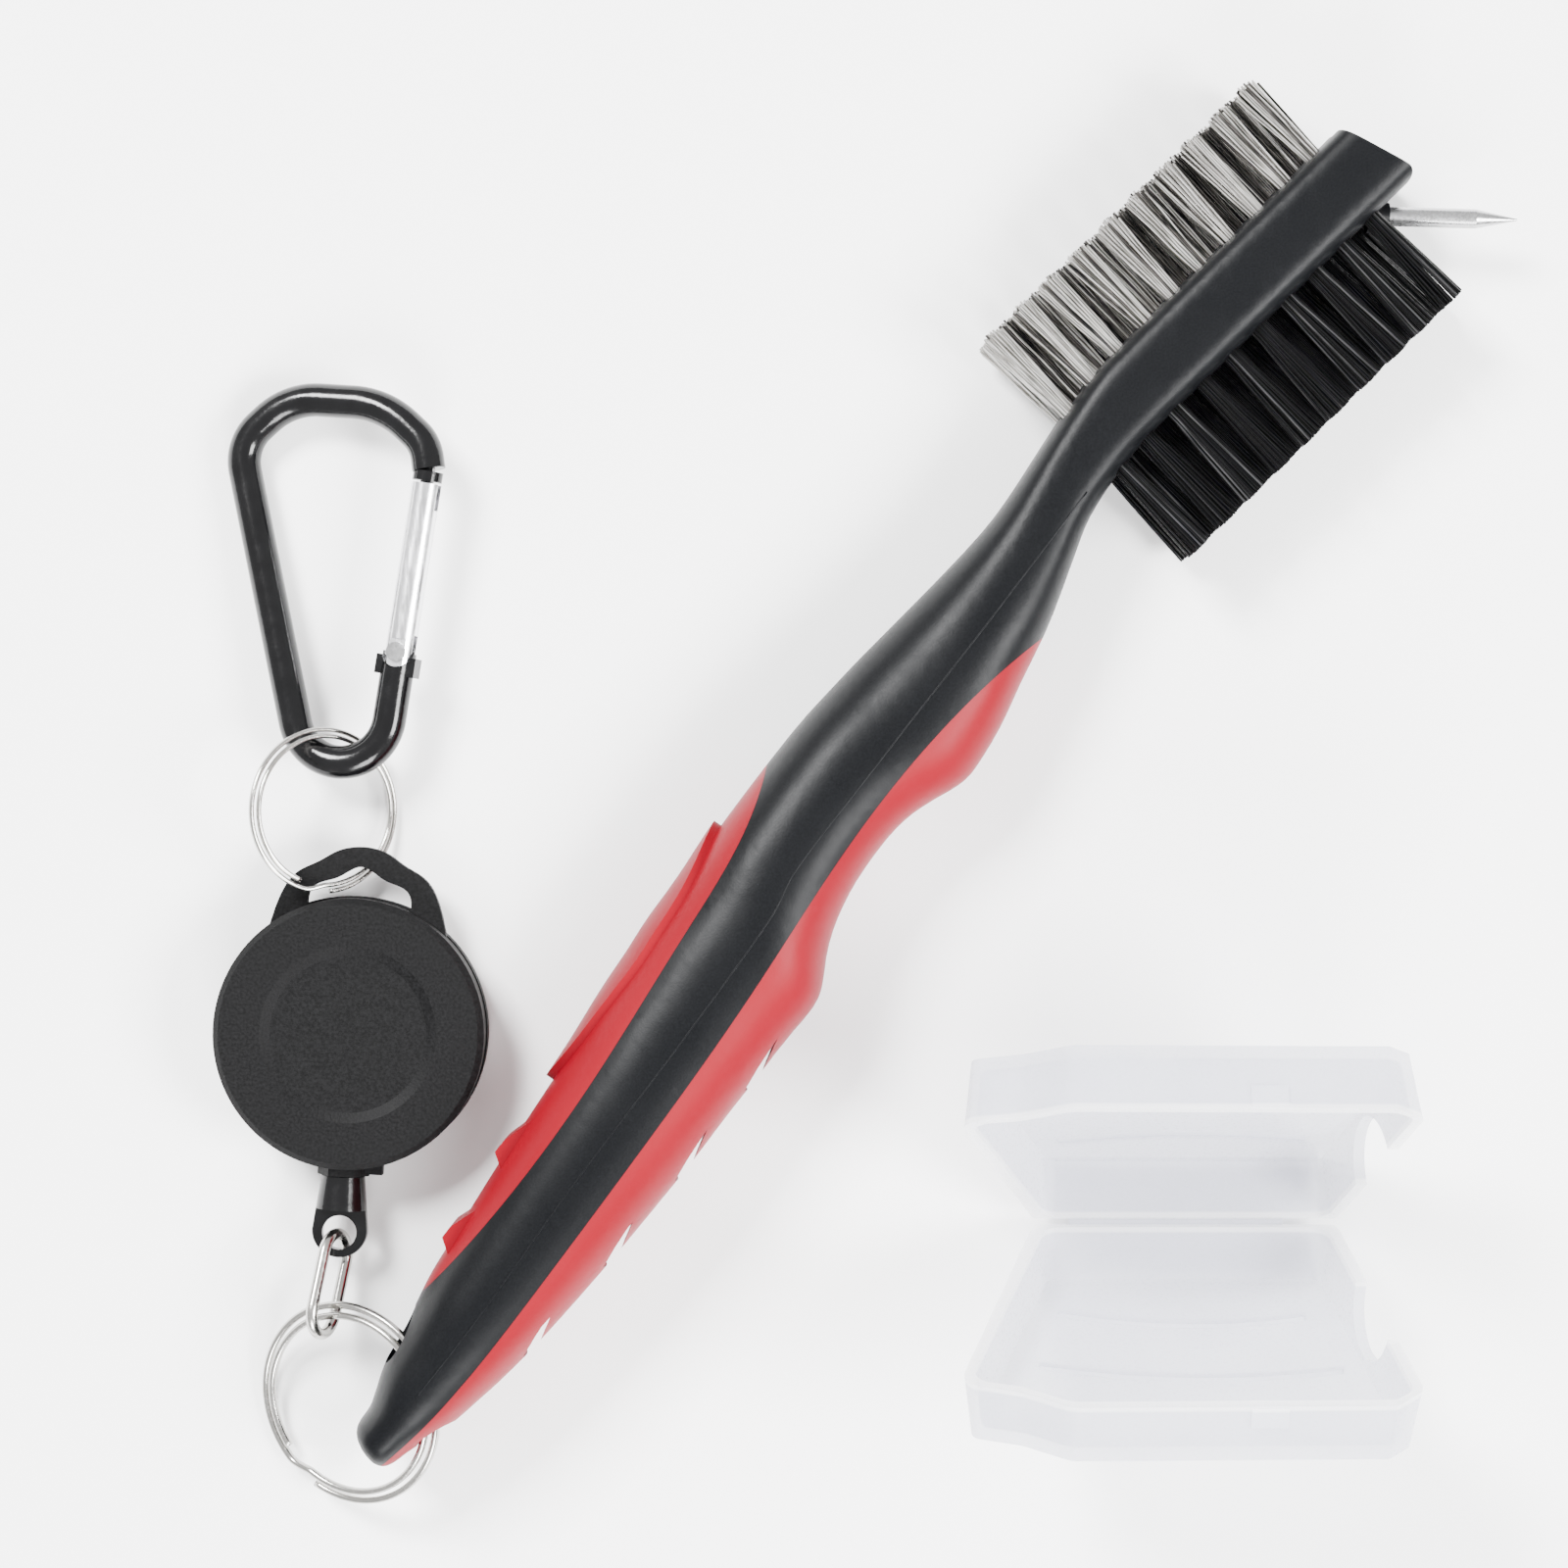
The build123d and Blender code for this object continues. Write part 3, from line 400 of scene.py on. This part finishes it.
def bristles(name, side, tip_reach, tip_radius, strand, count, wave, uneven, materials, others, seed):
    """All filaments of one side of the head as one mesh.

    A tuft has count strands of diameter strand, flared to tip_radius at tip_reach. uneven is how far
    the tips fall short, and others the share of the second material in the outer and middle rows;
    the middle row's share is set apart from the outer rows' to paint shade on that row.
    """
    rng = random.Random(seed)
    vertices, faces, kinds = [], [], []
    steps = 7 if wave else 5  # straight strands need fewer points
    x_dir = (on_brush(1, 0, 0) - on_brush(0, 0, 0)).normalized()
    y_dir = Vector((0, 0, side))
    for row, tuft_x, tuft_z in tuft_places():
        # The middle row's share differs from the outer rows' to paint shade on that row.
        share = others[0] if row else others[1]
        spin = rng.uniform(0, 2 * math.pi)
        lean_x = rng.uniform(-0.25, 0.25)
        lean_z = rng.uniform(-0.15, 0.15)
        for k in range(count):
            r = math.sqrt((k + 0.5) / count)
            a = k * GOLDEN_ANGLE + spin
            u = r * math.cos(a) + rng.uniform(-0.05, 0.05)
            v = r * math.sin(a) + rng.uniform(-0.05, 0.05)
            phase = rng.uniform(0, 2 * math.pi)
            turn = rng.uniform(0, 2 * math.pi)
            dome = uneven * (0.55 * (u * u + v * v) + rng.uniform(0.0, 0.45))  # outer strands end shorter
            end = tip_reach - dome
            path = []
            for i in range(steps + 1):
                t = i / steps
                y = ROOT_REACH + (end - ROOT_REACH) * t
                spread = max(0.0, (y - BAR_HALF_WIDTH) / (tip_reach - BAR_HALF_WIDTH))
                radius = HOLE_RADIUS + (tip_radius - HOLE_RADIUS - strand / 2) * spread ** FLARE_POWER
                offset = wave * math.sin(phase + t * WAVE_TURN) * min(1.0, 3 * t)
                x = tuft_x + u * radius + lean_x * spread + offset * math.cos(turn)
                z = tuft_z + v * radius + lean_z * spread + offset * math.sin(turn)
                path.append(on_brush(x, side * y, z))
            width = strand * rng.uniform(0.85, 1.1)
            section = rounded_section(width, width, 2, 5)
            sweep_into(vertices, faces, path, [(x_dir, y_dir)] * len(path), section)
            kind = 1 if rng.random() < share else 0
            kinds += [kind] * (len(faces) - len(kinds))
    made = new_mesh(name, vertices, faces, materials[0])
    made.data.materials.append(materials[1])
    made.data.polygons.foreach_set("material_index", kinds)
    made.data.set_sharp_from_angle(angle=math.radians(80.0))
    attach(made, "brush")
    return made


# others: a quarter dark strands in the outer rows, and three quarters in the middle row as painted shade.
wire = bristles(
    "wire_filaments", side=1, tip_reach=17.0, tip_radius=1.9, strand=0.29, count=42,
    wave=0.06, uneven=1.3, materials=WIRES, others=(0.24, 0.75), seed=11,
)
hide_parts("wire_tufts")
# others: lighter strands are 16 in a hundred in the outer rows and 3 in the middle row, a painted shade.
nylon = bristles(
    "nylon_filaments", side=-1, tip_reach=18.7, tip_radius=1.95, strand=0.31, count=44,
    wave=0.0, uneven=0.25, materials=NYLONS, others=(0.16, 0.03), seed=12,
)
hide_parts("nylon_tufts")


# ---- split rings: two turns of wire, one inside the other, with a crossing step ----
END_GAP = 13.0  # degrees from each end of the wire to the middle of the step
HALF_STEP = 9.0
FINE_STRETCH = 30.0  # degrees each side of the step that get closer points
HOOP_CLEARANCE = 0.03  # keeps the wire inside the outer radius


def split_ring(name, node, body, centre, turn, lean_axis, lean, radius, hoop, wire, beside, above, step_at):
    """Two turns about a tilted axis, apart by beside across the band and by above along the axis.

    radius is the outer one, hoop the height of the band that the ring leans on, and wire the
    width and height of one turn.
    """
    slope = math.radians(lean)
    height = radius * math.sin(slope) + hoop / 2 * math.cos(slope)
    place = Matrix.Translation(at(*centre, height)) @ Matrix.Rotation(math.radians(turn), 4, "Z")
    place = place @ Matrix.Rotation(slope, 4, lean_axis)
    vertices, faces, path, directions = [], [], [], []
    angle = END_GAP
    while angle <= 720 - END_GAP + 0.01:
        near = angle - 360
        share = smooth_step((near + HALF_STEP) / (2 * HALF_STEP))
        a = math.radians(angle + step_at)
        out = Vector((math.cos(a), math.sin(a), 0))
        r = radius - wire[0] / 2 - HOOP_CLEARANCE - beside * share
        path.append(place @ ((out * r + Vector((0, 0, above * (share - 0.5)))) * MM))
        directions.append((place.to_3x3() @ out, place.to_3x3() @ Vector((0, 0, 1))))
        angle += 3.0 if abs(near) > FINE_STRETCH else 1.5
    sweep_into(vertices, faces, path, directions, rounded_section(*wire, 2.4, 14))
    made = new_mesh(name, vertices, faces, NICKEL)
    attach(made, body)
    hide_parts(node)


split_ring(
    "handle_ring_coil", "handle_split_ring", "handle_ring",
    centre=(-61.4, -72.3), turn=-70.6, lean_axis="X", lean=28.5,
    radius=12.5, hoop=1.9, wire=(0.84, 0.95), beside=1.2, above=0.4, step_at=300.0,
)
split_ring(
    "reel_ring_coil", "reel_split_ring", "reel_ring",
    centre=(-64.4, -1.65), turn=0.0, lean_axis="Y", lean=36.0,
    radius=10.0, hoop=1.6, wire=(0.58, 0.72), beside=0.78, above=0.35, step_at=262.0,
)


# ---- the cord between the bell and the reel ----
CORD_HEIGHT = 4.75
CORD_DIAMETER = 0.9
CORD_STATIONS = (-20.2, -18.2, -16.2, -14.4, -12.6)  # along the reel's outlet, the bell's end first

cord_path = [REEL @ (Vector((0, y, CORD_HEIGHT)) * MM) for y in CORD_STATIONS]
cord_directions = [(REEL.to_3x3() @ Vector((1, 0, 0)), Vector((0, 0, 1)))] * len(cord_path)
cord_vertices, cord_faces = [], []
cord_section = rounded_section(CORD_DIAMETER, CORD_DIAMETER, 2, 12)
sweep_into(cord_vertices, cord_faces, cord_path, cord_directions, cord_section)
cord = new_mesh("reel_cord", cord_vertices, cord_faces, CORD)
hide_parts("cord_lead")
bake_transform(cord)


# ---- parting line along the top of the spine ----
SEAM_WIDTH = 0.2
SEAM_HEIGHT = 0.05
SEAM_RISE = 0.02
ABOVE_BRUSH = 60.0
SEAM_ACROSS = Vector((0.15, 1, 0))  # roughly square to the line, on the brush
seam_points = [
    (139.0, -4.6), (120.0, -7.4), (100.4, -10.0), (84.4, -12.2), (77.0, -14.4), (58.7, -17.5),
    (39.2, -20.4), (22.4, -23.4), (9.5, -25.2),
]


def surface_tree(name):
    made = bmesh.new()
    made.from_mesh(nodes[name].data)
    return BVHTree.FromBMesh(made)


def along_points(points, per_run):
    """Catmull-Rom points through a list of (x, y)."""
    out = []
    for i in range(len(points) - 1):
        p0 = Vector(points[max(i - 1, 0)])
        p1, p2 = Vector(points[i]), Vector(points[i + 1])
        p3 = Vector(points[min(i + 2, len(points) - 1)])
        for k in range(per_run):
            t = k / per_run
            out.append(0.5 * (2 * p1 + (p2 - p0) * t + (2 * p0 - 5 * p1 + 4 * p2 - p3) * t * t
                              + (3 * p1 - p0 - 3 * p2 + p3) * t ** 3))
    out.append(Vector(points[-1]))
    return out


core_tree = surface_tree("handle_core")
seam_vertices, seam_faces, seam_path, seam_directions = [], [], [], []
for p in along_points(seam_points, 12):
    hit, normal = core_tree.ray_cast(on_brush(p.x, p.y, ABOVE_BRUSH), Vector((0, 0, -1)))[:2]
    if hit:
        seam_path.append(hit + normal * SEAM_RISE * MM)
        across = (BRUSH.to_3x3() @ SEAM_ACROSS).normalized()
        across = (across - normal * across.dot(normal)).normalized()
        seam_directions.append((across, normal))
seam_section = rounded_section(SEAM_WIDTH, SEAM_HEIGHT, 2, 8)
sweep_into(seam_vertices, seam_faces, seam_path, seam_directions, seam_section)
seam = new_mesh("spine_parting_line", seam_vertices, seam_faces, BLACK)
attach(seam, "brush")


# ---- floor and light, in metres ----
FLOOR_HALF = 1.6
FLOOR_DROP = 0.0003  # keeps the floor just clear of what stands on it

floor_white = Shader(
    "floor_white", Base_Color=(0.97, 0.97, 0.97, 1.0), Roughness=0.9, Specular_IOR_Level=0.1,
).material
floor_corners = [
    Vector((x * FLOOR_HALF, y * FLOOR_HALF, -FLOOR_DROP)) for x, y in ((-1, -1), (1, -1), (1, 1), (-1, 1))
]
floor = new_mesh("floor", floor_corners, [(0, 1, 2, 3)], floor_white, smooth=False)


def area_light(name, location, size, power):
    """A square light that faces the middle of the set."""
    data = bpy.data.lights.new(name, "AREA")
    data.energy = power
    data.size = size
    made = bpy.data.objects.new(name, data)
    made.location = location
    made.rotation_mode = "QUATERNION"
    made.rotation_quaternion = (-Vector(location)).to_track_quat("-Z", "Y")
    bpy.context.scene.collection.objects.link(made)


area_light("key", (-0.45, 0.5, 0.75), size=0.3, power=34.0)
area_light("fill", (0.6, -0.2, 0.6), size=0.35, power=22.0)
area_light("front", (0.0, -0.7, 0.5), size=0.35, power=14.0)

world = bpy.data.worlds.new("studio")
bpy.context.scene.world = world
world.use_nodes = True
background = world.node_tree.nodes["Background"]
background.inputs["Color"].default_value = (1.0, 1.0, 1.0, 1.0)
background.inputs["Strength"].default_value = 1.2
